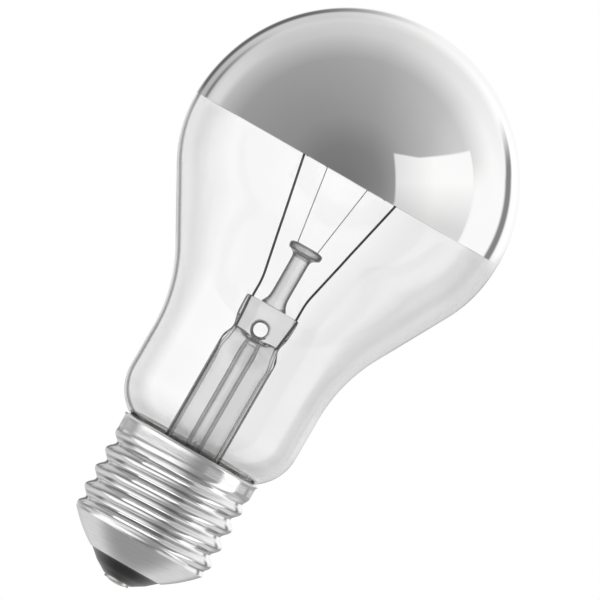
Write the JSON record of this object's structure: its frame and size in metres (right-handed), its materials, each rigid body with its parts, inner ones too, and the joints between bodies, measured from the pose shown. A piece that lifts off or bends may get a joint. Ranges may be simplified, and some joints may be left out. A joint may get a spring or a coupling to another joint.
{
  "type": "silver crown bulb",
  "caption": "Clear pear-shaped filament bulb with a mirrored crown that hides the filament, a pinched glass stem inside, and a rolled screw cap for a lamp holder.",
  "frame": {"origin": "end of the centre contact, where the screw cap bottoms in its holder", "axes": "+Z along the bulb's axis from the contact to the crown, -Y the side that the picture shows, +X to its right"},
  "size_m": [0.0612, 0.0612, 0.1121],
  "materials": {
    "clear_glass": "clear and polished",
    "silver_mirror": "bright silver mirror coat",
    "stem_glass": "clear, fire-polished",
    "lead_wire": "dark nickel-plated wire",
    "seal_wire": "copper-clad seal wire",
    "outer_lead": "bare copper",
    "support_wire": "drawn molybdenum wire",
    "tungsten": "dull grey coil",
    "cap_aluminium": "bright satin rolled sheet",
    "black_glass": "glossy black glass",
    "contact_metal": "tinned, dull",
    "solder": "dull solder",
    "cement": "matt baked cement"
  },
  "bodies": {
    "root": {"glass_envelope": "clear_glass", "crown_mirror": "silver_mirror", "stem_flare": "stem_glass", "exhaust_tube": "stem_glass", "glass_rod": "stem_glass", "left_inner_lead": "lead_wire", "right_inner_lead": "lead_wire", "left_seal_wire": "seal_wire", "right_seal_wire": "seal_wire", "contact_lead": "outer_lead", "shell_lead": "outer_lead", "left_support_wire": "support_wire", "right_support_wire": "support_wire", "filament": "tungsten", "cap_shell": "cap_aluminium", "cap_insulator": "black_glass", "contact_plate": "contact_metal", "contact_solder": "solder", "side_solder": "solder", "cap_cement": "cement"}
  },
  "joints": []
}
